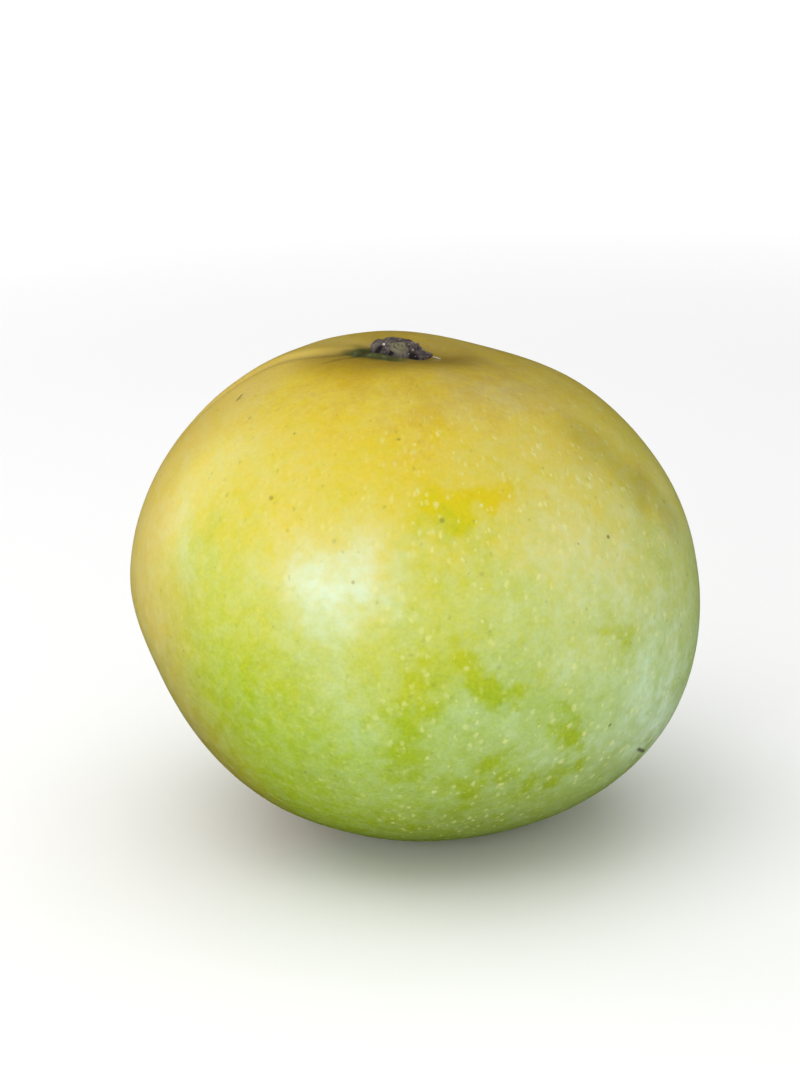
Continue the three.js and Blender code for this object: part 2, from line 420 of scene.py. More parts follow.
def furrow_line(points):
    """Distance of each point across the furrow, which bows to the front and then to the back as it leaves
    the stem, and the share of the furrow's depth there."""
    along = along_furrow(points)
    bow = BOW_BACK * ramp(along, *BOW_BACK_SPAN) - BOW_FRONT * bell(along - BOW_MIDDLE, BOW_REACH)
    share = crown_share(points) * span(along, 0, FURROW_START, *FURROW_FADE)
    return points[..., 1] - bow, share


def furrow_depth(points):
    """A broad valley less its two lips, plus the narrow crease, as bells across the furrow."""
    across, share = furrow_line(points)
    valley = FURROW_DEPTH * bell(across, FURROW_HALF_WIDTH)
    crease = CREASE_DEPTH * bell(across, CREASE_HALF_WIDTH)
    lips = FURROW_LIP * bell(across, FURROW_HALF_WIDTH * FURROW_LIP_REACH)
    return share * (valley + crease - lips)


def wrinkle_share(points):
    """1 along the bottom of the wrinkle, a slanting line in front of the furrow, fading across it and at
    both ends."""
    along = along_furrow(points)
    across = points[..., 1] - (WRINKLE_OFFSET + WRINKLE_SLANT * along)
    return crown_share(points) * span(along, *WRINKLE_SPAN) * bell(across, WRINKLE_HALF_WIDTH)


def stem_polar(points):
    """Distance from the stem's axis in widths of its oval, and the angle around it."""
    x = points[..., 0] - STEM_X
    y = points[..., 1] / STEM_OVAL
    return np.hypot(x, y), np.arctan2(y, x)


def beside_stem(points, front, spread):
    """1 on the side of the stem that an angle points to, fading to 0 as the cosine of the angle to it falls
    through the spread."""
    _, angle = stem_polar(points)
    return ramp(np.cos(angle - front), *spread)


def collar_side(points):
    """1 where the lip round the stem is highest, falling to 0 at the furrow and on the other side."""
    return beside_stem(points, COLLAR_FRONT, COLLAR_SPREAD)


def past_lip(points):
    """Distance outward from the crest of the lip round the stem, which stands further out where it is
    highest."""
    out, _ = stem_polar(points)
    return out - COLLAR_RADIUS - COLLAR_SHELF * collar_side(points)


def collar_rise(points):
    """A ring-shaped lip round the stem with a groove outside it: bells of the distance from each ring."""
    past = past_lip(points)
    lip = COLLAR_RISE * bell(past, COLLAR_WIDTH)
    groove = COLLAR_GROOVE * bell(past - COLLAR_GROOVE_OUT, COLLAR_WIDTH)
    return crown_share(points) * collar_side(points) * (lip - groove)


def skin_points():
    """The body pushed out by its swellings and unevenness, with the furrow, the wrinkle, the hollow and the
    collar, and flattened where it rests."""
    points = body(directions())
    outward = unit(points / np.array([WIDTH / 2, THICKNESS / 2, CROWN_RISE]))
    rise = swelling_rise(outward) - furrow_depth(points) - WRINKLE_DEPTH * wrinkle_share(points)
    for seed, (size, height) in enumerate(UNEVEN):
        rise += height * noise(points, size, seed)
    out, _ = stem_polar(points)
    sunk = crown_share(points) * HOLLOW_DEPTH * bell(out, HOLLOW_RADIUS) - collar_rise(points)
    points = points + outward * rise[..., None]
    points[..., 2] -= sunk
    points[..., 2] = np.maximum(points[..., 2], -BODY_HEIGHT)
    return points


def skin_places(points):
    """Azimuth in degrees, 0 at the front cheek and 90 at +X, and height above the ground."""
    azimuth = np.degrees(np.arctan2(points[..., 0], -points[..., 1]))
    return azimuth, points[..., 2] + BODY_HEIGHT


def nearest(points, place):
    """The point of the skin that is nearest to a place, an azimuth and a height."""
    azimuth, height = skin_places(points)
    aside = np.radians((azimuth - place[0] + 180) % 360 - 180) * np.hypot(points[..., 0], points[..., 1])
    return points.reshape(-1, 3)[np.argmin(np.hypot(aside, height - place[1]))]


def stroked(points, strokes):
    """The sum of bells of the distance to each stroke, a straight line between two places on the skin. The
    points are shaken by coarse and fine noise first, so the strokes have ragged outlines."""
    shaken = points.copy()
    for size, reach, seeds in STROKE_FRAYS:
        shaken += reach * np.stack([noise(points, size, seed) for seed in seeds], axis=-1)
    total = np.zeros(points.shape[:-1])
    for start, end, radius, amount in strokes:
        first = nearest(points, start)
        along = nearest(points, end) - first
        share = np.clip((shaken - first) @ along / max(along @ along, 1e-9), 0, 1)
        total += amount * bell(np.linalg.norm(shaken - first - share[..., None] * along, axis=-1), radius)
    return total


def hidden_rubs():
    """Strokes scattered over the sides that face away from the camera, each a few millimetres long."""
    chance = np.random.default_rng(RUB_SEED)
    azimuth = chance.uniform(*HIDDEN_AZIMUTHS, HIDDEN_RUBS)
    height = chance.uniform(*HIDDEN_HEIGHTS, HIDDEN_RUBS)
    turn = chance.uniform(-HIDDEN_TURN, HIDDEN_TURN, HIDDEN_RUBS)
    climb = chance.uniform(-HIDDEN_CLIMB, HIDDEN_CLIMB, HIDDEN_RUBS)
    radius = chance.uniform(*HIDDEN_RADII, HIDDEN_RUBS)
    amount = chance.uniform(*HIDDEN_AMOUNTS, HIDDEN_RUBS)
    starts = zip(azimuth, height)
    ends = zip(azimuth + turn, height + climb)
    return list(zip(starts, ends, radius, amount))


def around_and_up(points, sides, by_side, heights, by_height):
    """A share given by side times a share given by height."""
    azimuth, height = skin_places(points)
    return np.interp(azimuth, sides, by_side, period=360) * np.interp(height, heights, by_height)


def ripeness(points):
    """About 0 at the base and 1 at the crown: the height and each side's lift as a share of the fruit's
    height, with two layers of noise and the ripeness strokes."""
    azimuth, height = skin_places(points)
    lift = np.interp(azimuth, RIPE_SIDES, RIPE_LIFT, period=360) * (1 - ramp(height, *RIPE_LIFT_FADE))
    ripe = (height + lift) / (2 * BODY_HEIGHT)
    for size, amount, seed in RIPE_NOISE:
        ripe += amount * noise(points, size, seed)
    return ripe + stroked(points, RIPE_STROKES)


def flush_share(points):
    """1 on the furrow's side, past an edge that noise frays, fading out behind it."""
    azimuth, height = skin_places(points)
    edge = np.interp(height, FLUSH_HEIGHTS, FLUSH_EDGE)
    edge += FLUSH_FRAY * noise(points, FLUSH_FRAY_SIZE, FLUSH_SEED)
    return ramp(edge - azimuth, *FLUSH_SOFTNESS) * (1 - ramp(-azimuth, *FLUSH_END))


def crease_shade_share(points):
    """Painted shade along the bottoms of the furrow and the wrinkle, and the darker olive strokes."""
    across, share = furrow_line(points)
    along = np.minimum(1, CREASE_SHADE_REACH * share)
    crease = along * bell(across, CREASE_SHADE * CREASE_HALF_WIDTH)
    return np.maximum(crease, WRINKLE_SHADE * wrinkle_share(points)) + stroked(points, OLIVE_STROKES)


def green_and_furrow_shade(points):
    """Green out to a frayed distance from the lip round the stem, or painted dark green shade along the
    front of the furrow, whichever is more."""
    strength = GREEN_LEAST + (1 - GREEN_LEAST) * beside_stem(points, GREEN_FRONT, GREEN_SPREAD)
    reach = GREEN_REACH + GREEN_REACH_FRONT * beside_stem(points, GREEN_FRONT, FRONT_SPREAD)
    reach += noise(points, GREEN_FRAY_SIZE, GREEN_SEED)
    collar = strength * (1 - ramp(past_lip(points) - reach, *GREEN_SOFTNESS))
    across, _ = furrow_line(points)
    beside = BESIDE_SHADE_SHARE * bell(across + BESIDE_OFFSET, BESIDE_WIDTH)
    return crown_share(points) * np.maximum(collar, beside * span(along_furrow(points), *BESIDE_SPAN))


def brown_and_hollow_shade(points):
    """1 at the lip round the stem, fading outwards, with less behind the stem and at the furrow's back.
    Partly a brown stain, partly painted shade of the hollow.
    """
    past = past_lip(points) - BROWN_REACH_FRONT * beside_stem(points, GREEN_FRONT, FRONT_SPREAD)
    behind = BROWN_BEHIND_LOSS * ramp(points[..., 1], *BROWN_BEHIND)
    at_furrow = BROWN_FURROW_LOSS * beside_stem(points, BROWN_FURROW, BROWN_FURROW_SPREAD)
    return crown_share(points) * (1 - ramp(past, *BROWN_FADE)) * (1 - behind) * (1 - at_furrow)


def flow_places(points):
    """A place that follows the meridians: a point on a circle as wide as the fruit, and the distance along
    the surface from the crown."""
    azimuth, _ = skin_places(points)
    turn = np.radians(azimuth)
    step = np.linalg.norm(np.diff(points, axis=0, prepend=points[:1]), axis=-1)
    return np.stack([np.sin(turn) * WIDTH / 2, -np.cos(turn) * WIDTH / 2, np.cumsum(step, axis=0)], axis=-1)


def skin_fields(points):
    """What the skin's material reads at each point."""
    bloom = around_and_up(points, BLOOM_SIDES, BLOOM_AND_REFLECTION_BY_SIDE, BLOOM_HEIGHTS, BLOOM_BY_HEIGHT)
    return {
        "ripe": ripeness(points),
        # bloom: the waxy veil, with painted highlight and sheen strokes, and partly painted reflection on
        # the dorsal side
        "bloom": bloom + stroked(points, BLOOM_AND_SHEEN_STROKES),
        "rubbed": stroked(points, RUBBED_STROKES + hidden_rubs()),
        "flush": flush_share(points),
        "dots": around_and_up(points, DOT_SIDES, DOTS_BY_SIDE, DOT_HEIGHTS, DOTS_BY_HEIGHT),
        # dark: painted shade in the creases, and darker olive strokes
        "dark": crease_shade_share(points),
        "collar": green_and_furrow_shade(points),
        "brown": brown_and_hollow_shade(points),
        "flow": flow_places(points),
    }


def away_from(points, place):
    """Distance of each point from a place on the stub, seen from above."""
    return np.hypot(points[..., 0] - place[0], points[..., 1] - place[1])


def crag_rise(points):
    """Layers of lumps that meet in sharp clefts, each a noise without its sign, less the pits."""
    rise = np.zeros(points.shape[:-1])
    for seed, (size, height) in enumerate(CRAGS, CRAG_SEED):
        rise += height * np.abs(noise(points, size, seed))
    for place, radius in PITS:
        rise -= PIT_DEPTH * bell(away_from(points, place), radius)
    return rise


def ring_rise(out, rings):
    """The sum of bells of the distance from each ring."""
    return sum(height * bell(out - distance, width) for distance, width, height in rings)


def gentle_share(x, y):
    """1 on the stub's gentle side, the dorsal and front one, and 0 on its steep side."""
    return ramp((x * math.cos(STUB_OPEN) + y * math.sin(STUB_OPEN)) / STUB_RADIUS, *STUB_OPEN_SPAN)


def mound_height(x, y):
    """The stub's top: a plateau that falls to the rim, sooner and lower on the gentle side."""
    out = np.hypot(x, y) / STUB_RADIUS
    gentle = gentle_share(x, y)
    fall = (1 - gentle) * ramp(out, *STUB_STEEP) + gentle * ramp(out, *STUB_GENTLE)
    steep_rim, gentle_rim = STUB_RIM_RISE
    rim = steep_rim + (gentle_rim - steep_rim) * gentle
    return STUB_RISE + (rim - STUB_RISE) * fall


def stub_grid():
    """Rows from the middle of the stub's top, over the rim, down to the root and back to the axis: the
    share of the radius, the angle and the share of the depth at each point."""
    side_rows = STUB_ROWS - STUB_TOP_ROWS
    out = np.concatenate([np.linspace(0, 1, STUB_TOP_ROWS), np.ones(side_rows), [0.0]])
    sink = np.concatenate([np.zeros(STUB_TOP_ROWS), np.linspace(0, 1, side_rows), [1.0]])
    turn = np.linspace(-math.pi, math.pi, STUB_COLUMNS, endpoint=False)
    out, angle = np.meshgrid(out, turn, indexing="ij")
    return out, angle, np.broadcast_to(sink[:, None], out.shape)


def stub_points():
    """The mound pushed out by its crags and by the ring of the scar, and squeezed to its oval. Also gives
    how far each point stands out of the clefts, and the share of the pale patch."""
    out, angle, sink = stub_grid()
    waves = sum(height * np.sin(count * angle + phase) for count, phase, height in STUB_EDGE_WAVES)
    edge = STUB_RADIUS * (STUB_EDGE + waves)
    x = out * edge * np.cos(angle)
    y = out * edge * np.sin(angle)
    z = mound_height(x, y) * (1 - sink) - STUB_ROOT * sink
    points = np.stack([x, y, z], axis=-1)
    upright = np.full_like(x, STUB_RADIUS * CRAG_UPRIGHT)
    outward = unit(np.stack([x * out**2, y * out**2, upright], axis=-1))

    crags = crag_rise(points)
    fray = PATCH_FRAY * noise(points, PATCH_FRAY_SIZE, PATCH_SEED)
    patch = 1 - ramp(away_from(points, PATCH_PLACE) / PATCH_RADIUS + fray, *PATCH_EDGE)
    from_scar = away_from(points, SCAR_PLACE) / SCAR_RADIUS
    ring = ring_rise(from_scar, SCAR_RINGS)
    groove = ring_rise(from_scar, SCAR_GROOVES)
    rise = crags * (1 - CRAG_FADE * out * gentle_share(x, y)) * (1 - PATCH_SMOOTH * patch)
    rise += SCAR_RISE * (ring - SCAR_GROOVE_DEPTH * groove + patch)
    raised = crags / sum(height for _, height in CRAGS) * (1 - PATCH_TONE_SHARE * patch)
    raised += PATCH_TONE * patch * (1 + ring - groove)

    rooted = (1 - sink) * ramp(out, 0, CRAG_START)
    points = (points + outward * (rooted * rise)[..., None]) * np.array([1, STEM_OVAL, 1])
    return points, {"raised": raised, "patch": patch, "pale": np.zeros_like(raised)}


def chip_grid(last):
    """A small grid from 0 to last down its rows and once around its columns."""
    down = np.linspace(0, last, CHIP_ROWS)
    turn = np.linspace(-math.pi, math.pi, CHIP_COLUMNS, endpoint=False)
    return np.meshgrid(down, turn, indexing="ij")


def flake_points(middle, size, seed):
    """A small flat flake: a ball squeezed along a random axis and roughened by noise."""
    chance = np.random.default_rng(seed)
    polar, turn = chip_grid(math.pi)
    ball = np.stack([np.sin(polar) * np.cos(turn), np.sin(polar) * np.sin(turn), np.cos(polar)], axis=-1)
    ball *= 1 + FLAKE_ROUGHNESS * noise(ball + seed, FLAKE_ROUGHNESS_SIZE, seed)[..., None]
    axis = unit(chance.normal(size=3))
    ball -= FLAKE_FLATNESS * (ball @ axis)[..., None] * axis
    return np.array(middle) + size * ball


def fibre_points(start, end, radius):
    """A thin spindle between two points: rings of sin(pi * share)^0.5 times the radius across its axis."""
    start, end = np.array(start), np.array(end)
    share, turn = chip_grid(1)
    side = unit(np.cross([0, 0, 1], end - start))
    top = unit(np.cross(end - start, side))
    ring = np.cos(turn)[..., None] * side - np.sin(turn)[..., None] * top
    reach = radius * np.sqrt(np.clip(np.sin(math.pi * share), 0, 1))
    return start + share[..., None] * (end - start) + reach[..., None] * ring


def chips(mound):
    """The points and the paleness of each loose chip: the fibre, the white fleck on the nearest point of
    the stub's top, and flakes scattered by chance."""
    chance = np.random.default_rng(CHIP_SEED)
    fleck_spot = np.argmin(away_from(mound[:FLECK_ROWS], FLECK_PLACE))
    fleck = flake_points(mound.reshape(-1, 3)[fleck_spot], FLECK_SIZE, FLECK_SEED)
    made = [(fibre_points(*FIBRE, FIBRE_RADIUS), FIBRE_PALE), (fleck, FLECK_PALE)]
    for number in range(FLAKES):
        spot = mound[chance.integers(*FLAKE_BAND), chance.integers(STUB_COLUMNS)]
        flake = flake_points(spot, chance.uniform(*FLAKE_SIZES), number)
        made.append((flake, chance.uniform(*FLAKE_PALES)))
    return made


def joined_rows(grid):
    """The values of a grid in the order of a closed mesh's vertices: one for the first row, one for each
    point of the rows between, and one for the last row."""
    flat = grid.shape[2:]
    return np.concatenate([grid[0, :1], grid[1:-1].reshape(-1, *flat), grid[-1, :1]])


def closed_faces(shape):
    """The faces of a grid whose columns wrap around and whose first and last rows are single points."""
    rows, columns = shape[0] - 2, shape[1]
    index = 1 + np.arange(rows * columns).reshape(rows, columns)
    beside = np.roll(index, -1, axis=1)
    quads = np.stack([index[:-1], index[1:], beside[1:], beside[:-1]], axis=-1).reshape(-1, 4)
    first = np.stack([np.zeros(columns, int), index[0], beside[0]], axis=-1)
    last = np.stack([np.full(columns, rows * columns + 1), beside[-1], index[-1]], axis=-1)
    return [quads, first, last]


def piece(name, bodies, material):
    """An object at the origin, in metres: one mesh of closed bodies, each a grid of points and the fields
    on it, which become attributes of the vertices."""
    vertices, faces = [], []
    for points, _ in bodies:
        start = sum(map(len, vertices))
        for block in closed_faces(points.shape):
            faces.extend((block + start).tolist())
        vertices.append(joined_rows(points * MM))
    mesh = bpy.data.meshes.new(name)
    mesh.from_pydata(np.concatenate(vertices).tolist(), [], faces)
    mesh.shade_smooth()
    for field in bodies[0][1]:
        values = np.concatenate([joined_rows(fields[field]) for _, fields in bodies])
        vector = values.ndim == 2
        attribute = mesh.attributes.new(field, "FLOAT_VECTOR" if vector else "FLOAT", "POINT")
        attribute.data.foreach_set("vector" if vector else "value", values.ravel())
    mesh.materials.append(material)
    made = bpy.data.objects.new(name, mesh)
    bpy.context.scene.collection.objects.link(made)
    return made


def paint(red, green, blue):
    """A colour given in display values from 0 to 255, as the light values that shaders use."""
    display = np.array([red, green, blue]) / 255
    light = np.where(display <= 0.04045, display / 12.92, ((display + 0.055) / 1.055) ** 2.4)
    return (*light.tolist(), 1.0)


class Wiring:
    """Adds nodes to one tree, fills their inputs with values or with other nodes' outputs, and gives back
    the output that is used next."""

    def __init__(self, tree):
        self.tree = tree

    def add(self, kind, inputs, output=0, **options):
        node = self.tree.nodes.new(kind)
        for option, value in options.items():
            setattr(node, option, value)
        for key, value in inputs.items():
            if isinstance(value, bpy.types.NodeSocket):
                self.tree.links.new(value, node.inputs[key])
            else:
                node.inputs[key].default_value = value
        return node.outputs[output]

    def maths(self, operation, first, second, clamp=False):
        return self.add("ShaderNodeMath", {0: first, 1: second}, operation=operation, use_clamp=clamp)

    def vector(self, operation, first, second, output=0):
        return self.add("ShaderNodeVectorMath", {0: first, 1: second}, output, operation=operation)

    def scaled(self, vector, scale):
        return self.add("ShaderNodeVectorMath", {0: vector, "Scale": scale}, operation="SCALE")

    def ramp(self, value, low, high, least=0.0, most=1.0):
        inputs = {"Value": value, "From Min": low, "From Max": high, "To Min": least, "To Max": most}
        return self.add("ShaderNodeMapRange", inputs, interpolation_type="SMOOTHSTEP")

    def spread(self, noise, half, least, most):
        """A noise's values within half of their middle, spread from least to most."""
        return self.ramp(noise, 0.5 - half, 0.5 + half, least, most)

    def mix(self, share, under, over):
        return self.add("ShaderNodeMix", {0: share, 6: under, 7: over}, output=2, data_type="RGBA")

    def coat(self, mask, strength, under, over):
        """A colour laid over another where a mask is, at a strength."""
        return self.mix(self.maths("MULTIPLY", mask, strength), under, over)

    def noise(self, place, size, detail):
        return self.add("ShaderNodeTexNoise", {"Vector": place, "Scale": 1 / size, "Detail": detail})

    def field(self, name, output="Fac"):
        return self.add("ShaderNodeAttribute", {}, output, attribute_name=name)

    def place(self):
        """The object's own coordinates in millimetres."""
        return self.scaled(self.add("ShaderNodeTexCoord", {}, "Object"), 1 / MM)

    def stops(self, value, colours):
        """A colour ramp with a colour at each position."""
        output = self.add("ShaderNodeValToRGB", {"Fac": value})
        elements = output.node.color_ramp.elements
        elements.remove(elements[1])
        elements[0].position, elements[0].color = colours[0]
        for position, colour in colours[1:]:
            elements.new(position).color = colour
        return output

    def flecks(self, place, spacing, radius, share):
        """A mask of round flecks about as far apart as spacing, in that share of the places."""
        inputs = {"Place": place, "Spacing": spacing, "Radius": radius, "Share": share}
        return self.add("ShaderNodeGroup", inputs, node_tree=bpy.data.node_groups["flecks"])

    def mark(self, place, start, end, radius):
        """A mask of the points that are near the line between two points."""
        along = end - start
        reached = self.vector("SUBTRACT", place, start)
        product = self.vector("DOT_PRODUCT", reached, along, "Value")
        share = self.maths("DIVIDE", product, along @ along, clamp=True)
        away = self.vector("DISTANCE", reached, self.scaled(along, share), "Value")
        return self.ramp(away, radius, MARK_CORE * radius)

    def bump(self, height, distance):
        """A normal tilted by a height, of which 1 stands for that distance in millimetres."""
        return self.add("ShaderNodeBump", {"Height": height, "Distance": distance * MM})


FLECKS_EDGE = (1.0, 0.3)  # where a fleck begins and is full, as shares of its radius
FLECKS_LEAST_SIZE = 0.5  # the smallest fleck's radius, as a share of the radius given
FLECKS_LEAST_STRENGTH = 0.4


def flecks_group():
    """Round flecks scattered over a surface: one in some of the cells of a Voronoi pattern, each with a
    radius and a strength of its own. Gives a mask."""
    tree = bpy.data.node_groups.new("flecks", "ShaderNodeTree")
    for name, kind in (("Place", "Vector"), ("Spacing", "Float"), ("Radius", "Float"), ("Share", "Float")):
        tree.interface.new_socket(name, in_out="INPUT", socket_type=f"NodeSocket{kind}")
    tree.interface.new_socket("Mask", in_out="OUTPUT", socket_type="NodeSocketFloat")
    given = tree.nodes.new("NodeGroupInput").outputs
    wiring = Wiring(tree)
    scale = wiring.maths("DIVIDE", 1.0, given["Spacing"])
    cells = wiring.add("ShaderNodeTexVoronoi", {"Vector": given["Place"], "Scale": scale}).node.outputs
    chance = wiring.add("ShaderNodeSeparateColor", {"Color": cells["Color"]}).node.outputs
    size = wiring.maths("ADD", chance["Green"], FLECKS_LEAST_SIZE)
    size = wiring.maths("MULTIPLY", size, given["Radius"])
    reach = wiring.maths("MULTIPLY", cells["Distance"], given["Spacing"])
    inside = wiring.ramp(wiring.maths("DIVIDE", reach, size), *FLECKS_EDGE)
    there = wiring.maths("LESS_THAN", chance["Red"], given["Share"])
    strength = wiring.ramp(chance["Blue"], 0.0, 1.0, FLECKS_LEAST_STRENGTH, 1.0)
    mask = wiring.maths("MULTIPLY", inside, wiring.maths("MULTIPLY", there, strength))
    tree.links.new(mask, tree.nodes.new("NodeGroupOutput").inputs["Mask"])
    return tree


LEAF = paint(132, 152, 24)
LIME = paint(154, 178, 12)
CITRON = paint(187, 191, 20)
YELLOW = paint(210, 195, 14)
GOLD = paint(221, 194, 20)
OCHRE = paint(207, 172, 20)
PEACH = paint(212, 182, 78)
BRONZE = paint(158, 136, 42)
# the veil's colour, also used for the painted highlight and sheen
BLOOM_AND_SHEEN = paint(213, 237, 217)
DOT = paint(230, 230, 156)
PORE = paint(112, 132, 40)
SPECK = paint(132, 122, 72)
NICK = paint(60, 56, 42)
SHADE_OLIVE = paint(104, 92, 22)
BROWN_AND_SHADE = paint(142, 116, 40)
COLLAR_GREEN = paint(68, 74, 38)
COLLAR_GREY = paint(98, 102, 62)
CLEFT_SHADE = paint(40, 34, 34)
DUSK = paint(86, 75, 76)
CORK = paint(120, 112, 99)
SCAR = paint(128, 124, 92)
FLAKE = paint(214, 206, 192)

# The skin's pigment by ripeness. Blotches and grain shift the ripeness, a fine tone the brightness.
# Noises are given by their size in millimetres and their detail. Of their values, those within one of these
# distances of the middle are spread out.
CRISP = 0.2
SOFT = 0.25
SOFTEST = 0.3
RIPENING = [(0.12, LEAF), (0.42, LIME), (0.64, CITRON), (0.76, YELLOW), (0.89, GOLD), (0.99, OCHRE)]
BLOTCH = (4.0, 3.0)
BLOTCH_SHIFT = 0.028
GRAIN = (1.0, 3.0)
GRAIN_SHIFT = 0.012
TONE = (0.6, 3.0)
TONE_RIPENESS = (0.4, 0.8)
TONE_SHIFT = (0.08, 0.025)  # on green and on ripe skin
TAN_RIPENESS = (0.2, 0.7)
FLUSH_STRENGTH = 0.8

# The veil of bloom: clouds and patches weaken or strengthen it, a mottle is added, rubbing takes it off.
RAGGED = (3.0, 4.0)
RAGGED_SHIFT = 0.45
RUBBED_RANGE = (1.05, -0.05)  # how much rubbing takes all of the bloom, and how much takes none
CLOUDS = (6.0, 3.0)
CLOUD_SHARE = (0.7, 1.3)
BLOOM_PATCHES = (1.8, 3.0)
BLOOM_PATCH_SHARE = (0.82, 1.18)
MOTTLE = (2.2, 4.0)
MOTTLE_SHIFT = (-0.03, 0.05)
MOTTLE_RIPENESS = (0.95, 0.75)
MOTTLE_LEAST = 0.4  # share of the mottle that is left on the crown

# Flecks on the skin: spacing, radius, and the share of the places that hold one.
SMALL_DOTS = (1.7, 0.5, 1.0)
SMALL_DOT_STRETCH = (1.0, 1.0, 0.75)
SMALL_DOT_SHARE = 0.75
LARGE_DOTS = (2.7, 0.62, 0.9)
DOT_BEND = (0.8, 1.0)
DOT_BEND_REACH = 0.9
DOT_STRENGTH = 0.43
PORES = (2.2, 0.42, 0.6)
PORE_SHIFT = (7.0, 3.0, 5.0)
PORE_STRENGTH = 0.3
SPECKS = (5.0, 0.4, 0.5)
SPECK_STRENGTH = 0.6
CREASE_SHADE_STRENGTH = 0.9
BROWN_AND_SHADE_STRENGTH = 0.72
COLLAR_GRAIN = (0.25, 0.6, 0.85, 1.0)
COLLAR_GREY_GRAIN = (0.4, 0.75)

SKIN_ROUGHNESS = (0.05, 0.5, 0.4, 0.5)  # from this veil to that, the roughness goes from this to that
SKIN_BUMP = 0.06
DOT_BUMP = 0.5
SKIN_SPECULAR = 0.38
SKIN_COAT = 0.14
SKIN_COAT_ROUGHNESS = 0.25

CORK_TONE = (0.5, 4.0)
CORK_TONE_SHARE = (0.5, 1.4)
# the colour goes by how far each point stands out of the clefts: the darkest stop is painted shade
CORK_SHADES = [(0.03, CLEFT_SHADE), (0.2, DUSK), (0.6, CORK)]
CORK_PATCH = (0.05, 0.25, 0.2, 0.8)  # from this shade to that, the patch's share goes from this to that
CORK_FLECKS = (0.9, 0.16, 0.3)
CORK_FLECK_STRENGTH = 0.5
CORK_BUMP = 0.2
CORK_ROUGHNESS = 0.9


def new_material(name):
    """A material with the wiring of its tree and its shader."""
    material = bpy.data.materials.new(name)
    material.use_nodes = True
    return material, Wiring(material.node_tree), material.node_tree.nodes["Principled BSDF"]


def pigment(wiring, place, ripe):
    """Green to ochre by ripeness, lighter and darker by a fine noise, with the tan flush over it."""
    tone = wiring.spread(wiring.noise(place, *TONE), CRISP, -1.0, 1.0)
    tone = wiring.maths("MULTIPLY", tone, wiring.ramp(ripe, *TONE_RIPENESS, *TONE_SHIFT))
    tone = wiring.maths("ADD", tone, 1.0)
    colour = wiring.add("ShaderNodeHueSaturation", {"Color": wiring.stops(ripe, RIPENING), "Value": tone})
    tan = wiring.mix(wiring.ramp(ripe, *TAN_RIPENESS), BRONZE, PEACH)
    return wiring.coat(wiring.field("flush"), FLUSH_STRENGTH, colour, tan)


def bloom_and_sheen_veil(wiring, place, ripe):
    """The share of the pigment that bloom veils, with the painted highlight and sheen in it: cloudy,
    mottled, and gone where it is rubbed off.
    """
    ragged = wiring.spread(wiring.noise(place, *RAGGED), SOFTEST, -RAGGED_SHIFT, RAGGED_SHIFT)
    left = wiring.ramp(wiring.maths("ADD", wiring.field("rubbed"), ragged), *RUBBED_RANGE)
    clouds = wiring.spread(wiring.noise(place, *CLOUDS), SOFT, *CLOUD_SHARE)
    patches = wiring.spread(wiring.noise(place, *BLOOM_PATCHES), CRISP, *BLOOM_PATCH_SHARE)
    mottle = wiring.spread(wiring.noise(place, *MOTTLE), CRISP, *MOTTLE_SHIFT)
    mottle = wiring.maths("MULTIPLY", mottle, wiring.ramp(ripe, *MOTTLE_RIPENESS, MOTTLE_LEAST, 1.0))
    veil = wiring.maths("MULTIPLY", wiring.field("bloom"), wiring.maths("MULTIPLY", clouds, patches))
    return wiring.maths("MULTIPLY", wiring.maths("ADD", veil, mottle), left, clamp=True)


